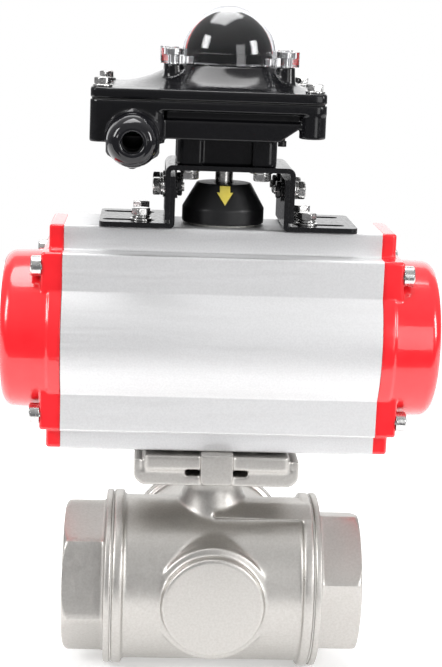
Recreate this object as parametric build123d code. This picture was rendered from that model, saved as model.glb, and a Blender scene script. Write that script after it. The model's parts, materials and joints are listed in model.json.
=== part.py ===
from build123d import *
import math
import os

# A three-way ball valve with a rack-and-pinion air actuator on top, and a limit-switch box above that.
# Millimetres, +Z up. Z is the stem axis, X runs along the pipe and the actuator, +Y points to the third port.
# The valve stands on its round rims at z = 0.

# ---- driving dimensions: valve ----
rim_r = 44.0                 # body rims and cap flanges, which the valve stands on
axis_z = rim_r               # height of the three port axes
body_r = 41.5                # cast body between its rims
rim_start = 44.4             # along each port axis, from the stem axis
seam = 50.0
flange_end = 53.6
port_end = 74.5
seam_gap = 0.6
hex_af = 67.0                # across flats of the port hexagons
hex_turn = 15.0              # how far each hexagon is turned on its own axis
corner_trim = 38.2           # the hexagon's corners are turned down to this radius
hex_bevel = 3.0
cap_thread_r = 36.0
cap_thread_start = 32.0
port_thread_r = 28.33        # minor radius of a 2 inch parallel pipe thread
port_thread_len = 24.0
waterway_r = 20.0
ball_r = 32.5
ball_bore_r = 19.0
ball_side_bore_r = 18.5      # a little narrower, so that it opens inside the wall of the cross bore
cavity_r = 34.2
seat_r = 28.5
seat_outer = 32.5            # back face of a seat ring, along its port axis
seat_bevel = 0.3             # neighbouring seats meet on 45 degree faces, this far apart
sleeve_r, sleeve_start = 30.4, 30.5
spigot_start = 34.6
fit = 0.05                   # radial clearance of a running fit
slack = 0.1                  # clearance of parts that are bolted together

boss_ring_r, boss_ring_y = 29.0, 39.5
boss_r, boss_y = 25.3, 45.0

neck_r = 14.6
neck_flare_r = 18.0
pad_bottom, pad_step, pad_top = 102.0, 110.2, 117.0
pad_half_x, pad_half_y = 35.3, 32.0
cheek_half_x, cheek_half_y = 40.3, 31.0
cheek_round = 6.0
lug_half_x, lug_y, lug_bottom = 7.8, 35.0, 103.2
pad_bolt_spacing = 35.36     # square pattern of an F05 pad, 50 mm across its diagonal
rib_low, rib_high, rib_r = 82.3, 87.3, 44.4

stem_r = 10.0
stem_square = 14.0
stem_square_z = 117.5
stem_top = 136.0
collar_r = 13.0
packing_r = 14.0

# ---- driving dimensions: actuator ----
half_len = 76.3              # housing, without its end caps
bore_z = 172.0
bore_r = 37.5
bulge_r = 41.3
side_y = 32.8
side_low, side_high = 128.5, 215.2
top_y, top_z = 21.6, 227.3
foot_y, foot_z = 28.0, 118.5
long_edge_round = 1.2

cap_plate_x = 86.5
cap_block_x = 83.4
cap_inset = 0.8
dome_x = 105.8
dome_base_r, dome_tip_r = 40.0, 38.6
dome_round = 6.0
dome_wall = 4.5
cap_seal_r, cap_seal_inner_r, cap_seal_depth = 40.0, 38.2, 1.5
cap_bolt_y, cap_bolt_dz = 28.0, 36.0
cap_bolt_head_r, cap_bolt_head_len = 5.0, 5.0

module = 2.0
teeth = 16
pressure = math.radians(20)
pitch_r = module * teeth / 2
rack_addendum = 1.8
tooth_slack = 0.08
gear_low, gear_high = 158.0, 186.0
rack_half_z = 12.0
piston_in, piston_out = 35.5, 50.8      # faces of a piston's head at rest
rack_tip = 33.0
piston_r = bore_r - 0.2
journal_low_r, journal_top_r = 18.5, 13.0
pinion_bottom, journal_low_end = 119.5, 140.0
stub_r, stub_top = 10.0, 244.0
bearing_low_r, bearing_top_r = 20.5, 15.0
cam_low, cam_high = 142.5, 150.5
cam_hub_r, cam_lobe_r, cam_flank = 11.0, 21.0, 3.6
waist_r = 9.0                # the pinion's waist, which the cam sits on
stop_x, stop_z, stop_tip_y = 16.0, 146.5, 4.0

namur_x, namur_y = 40.0, 15.0           # top pattern, half spacings
air_pad_x, air_pad_z, air_pad_y = 26.0, 17.4, 42.0
air_port_x, air_port_r = 12.0, 5.72
air_bolt_x, air_bolt_z = 16.0, 12.0

# ---- driving dimensions: indicator puck and bracket ----
puck_r, puck_top_r = 20.0, 13.2
puck_low, puck_edge, puck_top = 228.4, 235.6, 247.5
sheet = 2.4
bracket_top = 257.4
bracket_shift = 2.0          # the slotted feet hold the bracket this far to the right of the stem
bracket_half_x = 30.8
bracket_half_y = 25.0
foot_reach = 31.0            # from the leg's outer face to the foot's end
foot_upright_top = 252.0
slot_near, slot_far, slot_r = 36.2, 55.5, 2.8       # centres of a foot slot's two ends
leg_bolt_y, leg_bolt_z = 12.5, 246.0
shaft_hole_r = 13.0

# ---- driving dimensions: switch box ----
box_left, box_right, box_half_y = -64.6, 44.6, 43.0
box_low_left, box_low_mid, box_low_post = 268.7, 270.8, 272.6
box_seam, lid_edge, lid_top = 288.4, 293.4, 304.6
step_x = -30.0               # right of this the front and back walls step inwards
post_x = 32.3
wall = 3.0
neck_half = 23.8
pillar_at, pillar_r = 17.4, 5.4
ear_x, ear_y, ear_r = 26.5, 18.0, 6.2
bell_r = 24.0
dome_r, dome_z = 24.0, 309.8
ear_top = 311.6
rotor_r, rotor_z = 21.3, 308.4
vane_depth, vane_spread = 1.2, 17.0    # depth into the rotor, and half width 40 mm out
switch_shaft_r = 4.3
gland_x, gland_z, gland_face = -44.5, 271.2, 46.0
gland_af = 24.4
cable_r = 4.6
lid_screw_x, lid_screw_y = (-59.0, 39.0), 36.6


# ---- helpers ----
on_base = (Align.CENTER, Align.CENTER, Align.MIN)


def rod_x(r, a, b, y=0, z=0):
    return Pos((a + b) / 2, y, z) * Rot(0, 90, 0) * Cylinder(r, b - a)


def rod_y(r, a, b, x=0, z=0):
    return Pos(x, (a + b) / 2, z) * Rot(90, 0, 0) * Cylinder(r, b - a)


def rod_z(r, a, b, x=0, y=0):
    return Pos(x, y, (a + b) / 2) * Cylinder(r, b - a)


def tube_z(outer, inner, a, b, x=0, y=0):
    return rod_z(outer, a, b, x, y) - rod_z(inner, a - 1, b + 1, x, y)


def cone_z(r_low, r_high, a, b, x=0, y=0):
    return Pos(x, y, (a + b) / 2) * Cone(r_low, r_high, b - a)


def block(x0, x1, y0, y1, z0, z1):
    centre = Pos((x0 + x1) / 2, (y0 + y1) / 2, (z0 + z1) / 2)
    return centre * Box(x1 - x0, y1 - y0, z1 - z0)


def hex_rod(af, length, turn=0):
    """A hexagonal bar on +Z, from z = 0 up."""
    return extrude(RegularPolygon(af / math.sqrt(3), 6, rotation=turn), length)


def rounded_disc(r, a, b, edge):
    """A disc on +Z between two heights, with both rims rounded."""
    disc = rod_z(r, a, b)
    return fillet(disc.edges().filter_by(GeomType.CIRCLE), edge)


def group(solids):
    return Compound(children=list(solids))


def corners(dx, dy):
    return [(sx * dx, sy * dy) for sx in (-1, 1) for sy in (-1, 1)]


def turned(profile):
    """Revolve an outline of (radius, height) points about Z."""
    return revolve(Plane.XZ * make_face(Polyline(*profile, close=True)), Axis.Z)


# Each port is built on +Z from the valve's centre, then swung onto its own axis.
ports = {
    "right": Pos(0, 0, axis_z) * Rot(0, 90, 0),
    "left": Pos(0, 0, axis_z) * Rot(0, -90, 0),
    "rear": Pos(0, 0, axis_z) * Rot(-90, 0, 0),
}


# ---- valve ----
def body_arm():
    arm = rod_z(body_r, 0, rim_start + 1)
    return arm + rounded_disc(rim_r, rim_start, seam - seam_gap / 2, 1.0)


def body_arm_bore():
    through = rod_z(cavity_r, 0, seam + 1)
    return through + rod_z(cap_thread_r, cap_thread_start, seam + 1)


def front_boss():
    ring = rod_y(boss_ring_r, -boss_ring_y, 0, z=axis_z)
    ring = fillet(ring.edges().filter_by(GeomType.CIRCLE).group_by(Axis.Y)[0], 1.2)
    disc = rod_y(boss_r, -boss_y, 0, z=axis_z)
    disc = chamfer(disc.edges().filter_by(GeomType.CIRCLE).group_by(Axis.Y)[0], 0.8)
    return ring + disc


def pad():
    cheek = block(-cheek_half_x, cheek_half_x, -cheek_half_y, cheek_half_y, pad_bottom, pad_top - 2)
    low_sides = cheek.edges().filter_by(Axis.Y).group_by(Axis.Z)[0]
    cheek = fillet(low_sides, cheek_round)
    plate = block(-pad_half_x, pad_half_x, -pad_half_y, pad_half_y, pad_step, pad_top)
    plate = chamfer(plate.edges().filter_by(Axis.Z), 1.5)
    lug = block(-lug_half_x, lug_half_x, -lug_y, lug_y, lug_bottom, foot_z - slack)
    lug = fillet(lug.edges().filter_by(Axis.Y).group_by(Axis.Z)[0], 2.0)
    notch_x = lug_half_x + 7.5
    notches = block(-notch_x, notch_x, -cheek_half_y - 1, cheek_half_y + 1, pad_step - 3.2, pad_step)
    slot_x = pad_half_x + 0.6
    corner_gap = [block(s * slot_x - 1, s * slot_x + 1, -40, 40, pad_top - 7.5, pad_top + 1) for s in (-1, 1)]
    shape = cheek - notches
    for cut in corner_gap:
        shape -= cut
    return shape + plate + lug + rod_z(neck_r + 4.6, pad_bottom, pad_top)


def stem_bores():
    shape = rod_z(stem_r + fit, axis_z, pad_top + 2)
    shape += rod_z(collar_r + fit, axis_z, 86.0)
    shape += rod_z(packing_r, 100.0, pad_top + 2)
    return shape + rod_z(17.5, 112.5, pad_top + 3)


def casting_rib():
    """The raised rib that runs from the neck to the right-hand seam, on the front of the body."""
    bar = block(0, seam - seam_gap / 2, -rib_r, 0, rib_low, rib_high)
    return bar & rod_x(rib_r, -1, seam + 1, z=axis_z)


def valve_body():
    shape = front_boss() + casting_rib()
    for place in ports.values():
        shape += place * body_arm()
    neck = rod_z(neck_r, axis_z, pad_bottom + 1)
    shape += neck + cone_z(neck_flare_r + 1.6, neck_r, 78.0, 94.0) + pad()
    for place in ports.values():
        shape -= place * body_arm_bore()
    shape -= rod_y(seat_r + slack, -seat_outer, 0, z=axis_z)
    shape -= stem_bores()
    for x, y in corners(pad_bolt_spacing / 2, pad_bolt_spacing / 2):
        shape -= rod_z(3.3, pad_bottom - 1, foot_z, x, y)
        shape -= rod_z(5.4, pad_bottom - 1, pad_bottom + 6.2, x, y)
    return shape


def port_cap(turn):
    spigot = rod_z(sleeve_r, sleeve_start, seam) + rod_z(cavity_r - slack, spigot_start, seam)
    spigot += rod_z(cap_thread_r - slack, spigot_start + 1.5, seam + 1)
    flange = rounded_disc(rim_r, seam + seam_gap / 2, flange_end, 1.0)
    bar = Pos(0, 0, flange_end - 1) * hex_rod(hex_af, port_end - flange_end + 1, turn)
    trim_end = port_end - hex_bevel
    bar &= rod_z(corner_trim, 0, trim_end) + cone_z(corner_trim, corner_trim - 3.4, trim_end, port_end)
    shape = spigot + flange + bar
    shape -= rod_z(waterway_r, 0, port_end + 1)
    thread_start = port_end - port_thread_len
    shape -= rod_z(port_thread_r, thread_start, port_end + 1)
    shape -= cone_z(port_thread_r, port_thread_r + 2, port_end - 2, port_end)
    return shape - rod_z(seat_r + slack, 0, seat_outer)


def body_gasket():
    return tube_z(rim_r - 1.2, cap_thread_r + slack, seam - seam_gap / 2, seam + seam_gap / 2)


def ball_seat():
    bevel_low = 21.8
    ring = turned([(waterway_r, bevel_low + seat_bevel), (bevel_low, bevel_low + seat_bevel),
                   (seat_r, seat_r + seat_bevel), (seat_r, seat_outer), (waterway_r, seat_outer)])
    return ring - Sphere(ball_r + fit)


def ball():
    """Bored right across and out to the rear port, with a slot on top for the stem's tang."""
    past = ball_r + 2
    shape = Pos(0, 0, axis_z) * Sphere(ball_r)
    shape -= rod_x(ball_bore_r, -past, past, z=axis_z)
    shape -= rod_y(ball_side_bore_r, 0, past, z=axis_z)
    return shape - block(-13.2, 13.2, -5.1, 5.1, axis_z + ball_r - 7.5, axis_z + ball_r + 1)


def stem():
    tang = block(-13, 13, -5, 5, axis_z + ball_r - 7.2, axis_z + ball_r + 2)
    tang &= rod_z(collar_r, axis_z, axis_z + ball_r + 3)
    shape = tang + rod_z(collar_r, 77.5, 84.0) + rod_z(stem_r, 84.0, stem_square_z)
    half = stem_square / 2
    square = block(-half, half, -half, half, stem_square_z - 1, stem_top)
    square = chamfer(square.edges().group_by(Axis.Z)[-1], 0.8)
    return shape + (square & rod_z(stem_r, 100, 150))


def stem_packing():
    rings = [turned([(stem_r + fit, z), (packing_r - fit, z), (packing_r - fit, z + 1.8), (12, z + 2.3),
                     (stem_r + fit, z + 1.8)]) for z in (100.1, 102.1, 104.1)]
    return group(rings)


def disc_springs():
    low = turned([(10.1, 110.8), (13.6, 110.2), (13.6, 110.7), (10.1, 111.4)])
    high = turned([(13.6, 112.6), (10.1, 112.0), (10.1, 111.5), (13.6, 112.1)])
    return group([low, high])


def stem_nut():
    nut = Pos(0, 0, 112.8) * hex_rod(28.0, 3.8)
    return nut - rod_z(stem_r, 110, 120)


def pad_bolt(x, y):
    head = rod_z(5.0, pad_bottom + 0.3, pad_bottom + 6.1, x, y)
    head -= Pos(x, y, pad_bottom - 1) * hex_rod(5.0, 4.5)
    return head + rod_z(2.9, pad_bottom + 6, foot_z + 11, x, y)


# ---- actuator ----
def housing_outline(inset=0.0):
    """The extrusion's section on the YZ plane: stepped top and foot, and a round bulge over the bore."""
    def band(half_y, low, high):
        centre = Pos(0, (low + high) / 2)
        return centre * Rectangle(2 * (half_y - inset), high - low)

    face = band(side_y, side_low, side_high) + band(top_y, side_high - 2, top_z - inset * 0.2)
    face += band(foot_y, foot_z + inset * 0.2, side_low + 2) + Pos(0, bore_z) * Circle(bulge_r - inset)
    return fillet(face.vertices(), long_edge_round)


def air_interface_cuts():
    shape = rod_y(air_port_r, 30, air_pad_y + 1, -air_port_x, bore_z)
    shape += rod_y(air_port_r, air_pad_y - 3.2, air_pad_y + 1, air_port_x, bore_z)
    for x, dz in corners(air_bolt_x, air_bolt_z):
        shape += rod_y(2.1, air_pad_y - 5.5, air_pad_y + 1, x, bore_z + dz)
    return shape


def actuator_housing():
    shape = Plane.YZ * housing_outline()
    shape = Pos(-half_len, 0, 0) * extrude(shape, 2 * half_len)
    air_pad = block(-air_pad_x, air_pad_x, 30, air_pad_y, bore_z - air_pad_z, bore_z + air_pad_z)
    shape += chamfer(air_pad.edges().group_by(Axis.Y)[-1], 1.0)
    shape -= rod_x(bore_r, -half_len - 1, half_len + 1, z=bore_z)
    shape -= air_interface_cuts()
    shape -= rod_z(bearing_low_r, foot_z + 4.5, bore_z) + rod_z(journal_low_r + 0.5, foot_z - 1, foot_z + 5)
    shape -= rod_z(bearing_top_r, bore_z, top_z + 1)
    for x, y in corners(namur_x, namur_y):
        shape -= rod_z(2.1, top_z - 10, top_z + 1, x, y)
    for x, y in corners(pad_bolt_spacing / 2, pad_bolt_spacing / 2):
        shape -= rod_z(3.0, foot_z - 1, foot_z + 12, x, y)
    for y, dz in corners(cap_bolt_y, cap_bolt_dz):
        shape -= rod_x(3.0, -half_len - 1, -half_len + 18, y, bore_z + dz)
        shape -= rod_x(3.0, half_len - 18, half_len + 1, y, bore_z + dz)
    for x in (-stop_x, stop_x):
        shape -= rod_y(4.0, 20, side_y + 1, x, stop_z) + rod_y(8.0, side_y, air_pad_y + 1, x, stop_z)
    return shape


def end_cap():
    """The right-hand cap; the left one is the same part turned half round."""
    sheet_face = Plane.YZ * housing_outline(cap_inset)
    shape = Pos(half_len, 0, 0) * extrude(sheet_face, cap_block_x - half_len)
    shape = chamfer(shape.faces().sort_by(Axis.X)[-1].edges(), 0.9)
    inner_y = side_y - cap_inset
    plate = block(half_len, cap_plate_x, -inner_y, inner_y, side_low, side_high)
    plate = fillet(plate.edges().filter_by(Axis.X), 1.5)
    plate = fillet(plate.faces().sort_by(Axis.X)[-1].edges(), 1.3)
    dome = Cone(dome_base_r, dome_tip_r, dome_x - half_len)
    dome = Pos((half_len + dome_x) / 2, 0, bore_z) * Rot(0, 90, 0) * dome
    dome = fillet(dome.edges().filter_by(GeomType.CIRCLE).group_by(Axis.X)[-1], dome_round)
    shape += plate + dome
    inner = rod_x(dome_tip_r - dome_wall, half_len - 1, dome_x - dome_wall, z=bore_z)
    shape -= fillet(inner.edges().filter_by(GeomType.CIRCLE).group_by(Axis.X)[-1], 4.0)
    groove = rod_x(cap_seal_r, half_len - 1, half_len + cap_seal_depth, z=bore_z)
    shape -= groove - rod_x(cap_seal_inner_r, half_len - 1, half_len + 2, z=bore_z)
    for y, dz in corners(cap_bolt_y, cap_bolt_dz):
        shape -= rod_x(3.2, half_len - 1, cap_plate_x + 1, y, bore_z + dz)
    return shape


def cap_seal():
    ring = rod_x(cap_seal_r - fit, half_len, half_len + cap_seal_depth - slack, z=bore_z)
    return ring - rod_x(cap_seal_inner_r + fit, half_len - 1, dome_x, z=bore_z)


def cap_bolt(y, dz):
    head = rod_x(cap_bolt_head_r, cap_plate_x, cap_plate_x + cap_bolt_head_len, y, bore_z + dz)
    head = chamfer(head.edges().filter_by(GeomType.CIRCLE).group_by(Axis.X)[-1], 0.6)
    socket = Pos(cap_plate_x + 2, y, bore_z + dz) * Rot(0, 90, 0) * hex_rod(5.0, 5.0)
    return head - socket + rod_x(2.9, half_len - 14, cap_plate_x + 1, y, bore_z + dz)


def half_turn(shape):
    return Rot(0, 0, 180) * shape


def rack_spaces():
    """Trapezoid cuts between the rack's teeth, on its pitch line at y = -pitch_r."""
    pitch = math.pi * module
    half = pitch / 4 + tooth_slack / 2
    tip_y, root_y = -pitch_r + rack_addendum + 0.5, -pitch_r - 1.25 * module
    wide = half + (tip_y + pitch_r) * math.tan(pressure)
    narrow = half + (root_y + pitch_r) * math.tan(pressure)
    count = int(rack_tip / pitch)
    cuts = None
    for k in range(-count, count + 1):
        x = k * pitch
        outline = Polyline((x - wide, tip_y), (x + wide, tip_y), (x + narrow, root_y), (x - narrow, root_y),
                           close=True)
        cut = Pos(0, 0, bore_z - rack_half_z - 1) * extrude(make_face(outline), 2 * rack_half_z + 2)
        cuts = cut if cuts is None else cuts + cut
    return cuts


def piston():
    """The right-hand piston, whose rack passes in front of the pinion."""
    head = rod_x(piston_r, piston_in, piston_out, z=bore_z)
    head -= rod_x(bore_r, 46.0, 49.0, z=bore_z) - rod_x(34.5, 40, 60, z=bore_z)
    tooth_tip_y = -pitch_r + rack_addendum
    arm = block(-rack_tip, piston_in + 1, -bore_r, tooth_tip_y, bore_z - rack_half_z, bore_z + rack_half_z)
    arm &= rod_x(36.0, -bore_r, piston_in + 2, z=bore_z)
    arm -= rack_spaces()
    arm -= rack_pad_space()
    hollow = rod_x(24.0, piston_out - 7, piston_out + 1, z=bore_z)
    return head + arm - hollow


def rack_pad_space():
    return block(-26, -4, -40, -30, bore_z - 8, bore_z + 8) - rod_x(34.6, -40, 40, z=bore_z)


def rack_pad():
    outer = rod_x(bore_r - fit, -26 + slack, -4 - slack, z=bore_z) - rod_x(34.65, -40, 40, z=bore_z)
    return outer & block(-26, -4, -40, -30, bore_z - 7.9, bore_z + 7.9)


def piston_seal():
    ring = rod_x(bore_r - fit, 46.1, 48.9, z=bore_z)
    return ring - rod_x(34.6, 40, 60, z=bore_z)


def involute(base, radius):
    """The angle from the tooth's start on the base circle to where the flank reaches a radius."""
    if radius <= base:
        return 0.0
    t = math.sqrt((radius / base) ** 2 - 1)
    return t - math.atan(t)


def gear_outline():
    base = pitch_r * math.cos(pressure)
    outer, root = pitch_r + module, pitch_r - 1.25 * module
    half_tooth = math.pi / (2 * teeth) - tooth_slack / (2 * pitch_r)
    radii = [root] + [base + (outer - base) * i / 5 for i in range(6)]
    flank = [(r, half_tooth + involute(base, pitch_r) - involute(base, r)) for r in radii]
    points = []
    for n in range(teeth):
        mid = math.pi / 2 + 2 * math.pi * n / teeth
        for r, a in flank:
            points.append((r * math.cos(mid - a), r * math.sin(mid - a)))
        for r, a in reversed(flank):
            points.append((r * math.cos(mid + a), r * math.sin(mid + a)))
    return make_face(Polyline(*points, close=True))


def pinion():
    shape = rod_z(journal_low_r, pinion_bottom, journal_low_end) + rod_z(waist_r, journal_low_end, gear_low)
    shape += Pos(0, 0, gear_low) * extrude(gear_outline(), gear_high - gear_low)
    shape += rod_z(12, gear_high, 210) + rod_z(journal_top_r, 210, 226.5) + rod_z(stub_r, 226.5, stub_top)
    half = stem_square / 2 + fit
    shape -= block(-half, half, -half, half, pinion_bottom - 1, 138)
    shape -= block(-stub_r - 1, stub_r + 1, -2.0, 2.0, stub_top - 7, stub_top + 1)
    return shape - tube_z(stub_r + 1, 9.2, 228.3, 229.5)


def stop_cam():
    """Its two flat flanks meet the stop screws at the two ends of the quarter turn."""
    lobe = rod_z(cam_lobe_r, cam_low, cam_high) & block(-30, cam_flank, -30, cam_flank, cam_low, cam_high)
    return rod_z(cam_hub_r, cam_low, cam_high) + lobe - rod_z(waist_r, cam_low - 1, cam_high + 1)


def stop_screw(x):
    screw = rod_y(3.9, stop_tip_y, 44, x, stop_z)
    screw -= Pos(x, 40, stop_z) * Rot(-90, 0, 0) * hex_rod(4.0, 6.0)
    nut = Pos(x, side_y + slack, stop_z) * Rot(-90, 0, 0) * hex_rod(13.0, 5.5, 30)
    return [screw, nut - rod_y(3.9, 20, 50, x, stop_z)]


def pinion_bearings():
    low = tube_z(bearing_low_r - slack, journal_low_r + fit, foot_z + 5, 134.0)
    top = tube_z(bearing_top_r - slack, journal_top_r + fit, 211.0, 225.5)
    return group([low, top])


def circlip():
    ring = tube_z(14.0, 9.3, 228.4, 229.4)
    return ring - block(-2.5, 2.5, -15, 0, 228, 230)


# ---- indicator puck and bracket ----
def puck_cone(grow=0.0):
    low = rod_z(puck_r + grow, puck_low, puck_edge)
    return low + cone_z(puck_r + grow, puck_top_r + grow, puck_edge, puck_top)


def arrow_prism():
    outline = Polyline((-2.5, 247.0), (2.5, 247.0), (2.5, 244.0), (3.9, 244.0), (0, 238.2), (-3.9, 244.0),
                       (-2.5, 244.0), close=True)
    return extrude(Plane.XZ * make_face(outline), 30)


def indicator_puck():
    shape = puck_cone()
    shape -= rod_z(17.6, puck_low - 1, 233.0) + rod_z(stub_r + fit, 230, stub_top)
    shape -= rod_z(4.7, stub_top - 1, puck_top + 1)
    return shape - (arrow_prism() - puck_cone(-0.8))


def puck_arrow():
    return (arrow_prism() & puck_cone(0.25)) - puck_cone(-0.75)


def bracket():
    """An upside-down U: a top plate under the switch box and two legs bolted to the feet."""
    low, high = 231.2, bracket_top
    outer = block(-bracket_half_x, bracket_half_x, -bracket_half_y, bracket_half_y, low, high)
    outer = fillet(outer.edges().filter_by(Axis.Y).group_by(Axis.Z)[-1], 3.4)
    inner_x, past_y = bracket_half_x - sheet, bracket_half_y + 1
    inner = block(-inner_x, inner_x, -past_y, past_y, low - 1, high - sheet)
    inner = fillet(inner.edges().filter_by(Axis.Y).group_by(Axis.Z)[-1], 1.2)
    shape = Pos(bracket_shift, 0, 0) * (outer - inner)
    shape -= rod_z(shaft_hole_r, high - 5, high + 1)
    for x, y in corners(pillar_at, pillar_at):
        shape -= rod_z(2.8, high - 5, high + 1, x, y)
    for y in (-leg_bolt_y, leg_bolt_y):
        shape -= rod_x(2.8, -50, 50, y, leg_bolt_z)
    return shape


def foot(sign):
    """An L-shaped foot: its upright is inside the bracket's leg and its flat part points outwards."""
    inner = bracket_half_x - sheet
    half_y = bracket_half_y
    upright = block(inner - sheet, inner - fit, -half_y, half_y, top_z, foot_upright_top)
    flat = block(inner - sheet, bracket_half_x + foot_reach, -half_y, half_y, top_z, top_z + sheet)
    shape = upright + flat
    shape = fillet(shape.edges().filter_by(Axis.Y).group_by(Axis.Z)[0].sort_by(Axis.X)[0], 2.2)
    shape = fillet(shape.edges().filter_by(Axis.Z).group_by(Axis.X)[-1], 3.0)
    for y in (-leg_bolt_y, leg_bolt_y):
        shape -= rod_x(2.8, 0, 50, y, leg_bolt_z)
    shape = Rot(0, 0, 0 if sign > 0 else 180) * shape
    shape = Pos(bracket_shift, 0, 0) * shape
    for y in (-namur_y, namur_y):
        shape -= slot(sign, y)
    return shape


def slot(sign, y):
    near, far = sorted((sign * slot_near, sign * slot_far))
    low, high = top_z - 1, top_z + sheet + 1
    shape = block(near, far, y - slot_r, y + slot_r, low, high)
    for x in (near, far):
        shape += rod_z(slot_r, low, high, x, y)
    return shape


def foot_bolt(x, y):
    low = top_z + sheet
    washer = tube_z(5.2, 2.5, low, low + 1.0, x, y)
    spring_washer = tube_z(4.3, 2.5, low + 1.05, low + 2.3, x, y)
    head = Pos(x, y, low + 2.35) * hex_rod(8.0, 3.6, 12)
    shank = rod_z(2.0, top_z - 8, low + 3, x, y)
    return [washer, spring_washer, head + shank]


def leg_bolts():
    parts = []
    for sign in (-1, 1):
        outer = bracket_shift + sign * bracket_half_x
        inner = outer - sign * 2 * sheet
        for y in (-leg_bolt_y, leg_bolt_y):
            spin = Pos(outer, y, leg_bolt_z) * Rot(0, 90 * sign, 0)
            washer = spin * tube_z(5.2, 2.6, 0, 1.0)
            ring = spin * tube_z(4.3, 2.6, 1.05, 2.25)
            head = spin * Pos(0, 0, 2.3) * hex_rod(8.0, 3.6, 30)
            low, high = sorted((inner - sign * 4.4, outer + sign * 3.0))
            parts += [washer, ring, head + rod_x(2.4, low, high, y, leg_bolt_z)]
    return group(parts)


def leg_nuts():
    """Toothed flange nuts on the inside of the feet."""
    parts = []
    for sign in (-1, 1):
        inner = bracket_shift + sign * (bracket_half_x - 2 * sheet)
        for y in (-leg_bolt_y, leg_bolt_y):
            spin = Pos(inner, y, leg_bolt_z) * Rot(0, -90 * sign, 0)
            flange = Cylinder(5.6, 1.2, align=on_base)
            nut = flange + Pos(0, 0, 1) * hex_rod(8.0, 2.4, 30)
            parts.append(spin * (nut - Cylinder(2.45, 20)))
    return group(parts)



def box_bolt(x, y):
    top = bracket_top - sheet
    washer = tube_z(4.9, 2.75, top - 1.0, top, x, y)
    head = Pos(x, y, top - 1.05 - 3.6) * hex_rod(8.0, 3.6)
    return [washer, head + rod_z(2.4, top - 2, bracket_top + 8, x, y)]


# ---- switch box ----
def rounded_plan(x0, x1, half_y, z0, z1, r):
    shape = block(x0, x1, -half_y, half_y, z0, z1)
    return fillet(shape.edges().filter_by(Axis.Z), r)


def switch_base():
    """A tub with stepped walls, on a square neck with four screw pillars."""
    seam_z = box_seam - 0.25
    shape = rounded_plan(box_left, step_x, box_half_y, box_low_left, seam_z, 5.0)
    shape += rounded_plan(step_x - 12, box_right, box_half_y, 284.0, seam_z, 5.0)
    shape += block(step_x - 5, post_x + 2, -37, 37, 277.0, 285.0)
    shape += band_with_bevel()
    for y in (-box_half_y + 6.2, box_half_y - 6.2):
        shape += rod_z((box_right - post_x) / 2, box_low_post, seam_z, (box_right + post_x) / 2, y)
    shape += block(post_x - 4, box_right, -37.5, 37.5, 277.0, 285.0)
    shape += conduit_boss()
    inner_y = box_half_y - wall
    shape -= block(box_left + wall, step_x, -inner_y, inner_y, box_low_left + wall, box_seam + 1)
    shape -= block(step_x - 1, post_x - 2, -34.0, 34.0, box_low_mid + wall, box_seam + 1)
    shape -= block(post_x - 3, box_right - wall, -30.0, 30.0, 280.0, box_seam + 1)
    shape += neck()
    for x in lid_screw_x:
        for y in (-lid_screw_y, lid_screw_y):
            shape += rod_z(4.6, 276.0, seam_z, x, y)
            shape -= rod_z(2.0, 278.0, box_seam + 1, x, y)
    shape -= rod_y(9.9, -gland_face - 1, -38.0, gland_x, gland_z) + rod_y(8.0, -40.0, -30.0, gland_x, gland_z)
    shape -= rod_z(7.0, bracket_top - 1, box_seam)
    return shape - rod_z(1.4, box_low_mid - 1, box_low_mid + 2.5, 25.2, -30)


def band_with_bevel():
    bevel = 9.0
    left, ledge_z = step_x - 5, 279.6
    outline = Polyline((left, box_low_mid), (post_x - bevel, box_low_mid), (post_x, 277.2), (post_x, ledge_z),
                       (left, ledge_z), close=True)
    return Pos(0, 40, 0) * extrude(Plane.XZ * make_face(outline), 80)


def conduit_boss():
    boss = rod_y(12.3, -gland_face, -28.0, gland_x, gland_z)
    return fillet(boss.edges().filter_by(GeomType.CIRCLE).group_by(Axis.Y)[0], 1.0)


def neck():
    shape = rounded_plan(-neck_half, neck_half, neck_half, bracket_top, box_low_mid + 1, 4.0)
    recess = pillar_at - pillar_r
    for y in (-neck_half, neck_half):
        shape -= block(-recess, recess, y - 3.0, y + 3.0, bracket_top - 1, box_low_mid)
    for x in (-neck_half, neck_half):
        shape -= block(x - 2.0, x + 2.0, -recess, recess, bracket_top - 1, box_low_mid)
    for x, y in corners(pillar_at, pillar_at):
        shape -= rod_z(2.5, bracket_top - 1, bracket_top + 9, x, y)
    return shape


def bell(grow, low):
    """The lid's concave rise towards the dome, as a turned shape."""
    foot_r = 62.0
    start = (bell_r + 6 + grow, lid_top - 1.2 + min(grow, 0))
    end = (foot_r, lid_edge - 2.4 + min(grow, 0))
    sweep = ThreePointArc(start, ((start[0] + end[0]) / 2 - 5.5, (start[1] + end[1]) / 2 - 2.8), end)
    lines = [sweep, Line(end, (foot_r, low)), Line((foot_r, low), (0, low)), Line((0, low), (0, start[1])),
             Line((0, start[1]), start)]
    return revolve(Plane.XZ * make_face(Curve() + lines), Axis.Z)


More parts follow.
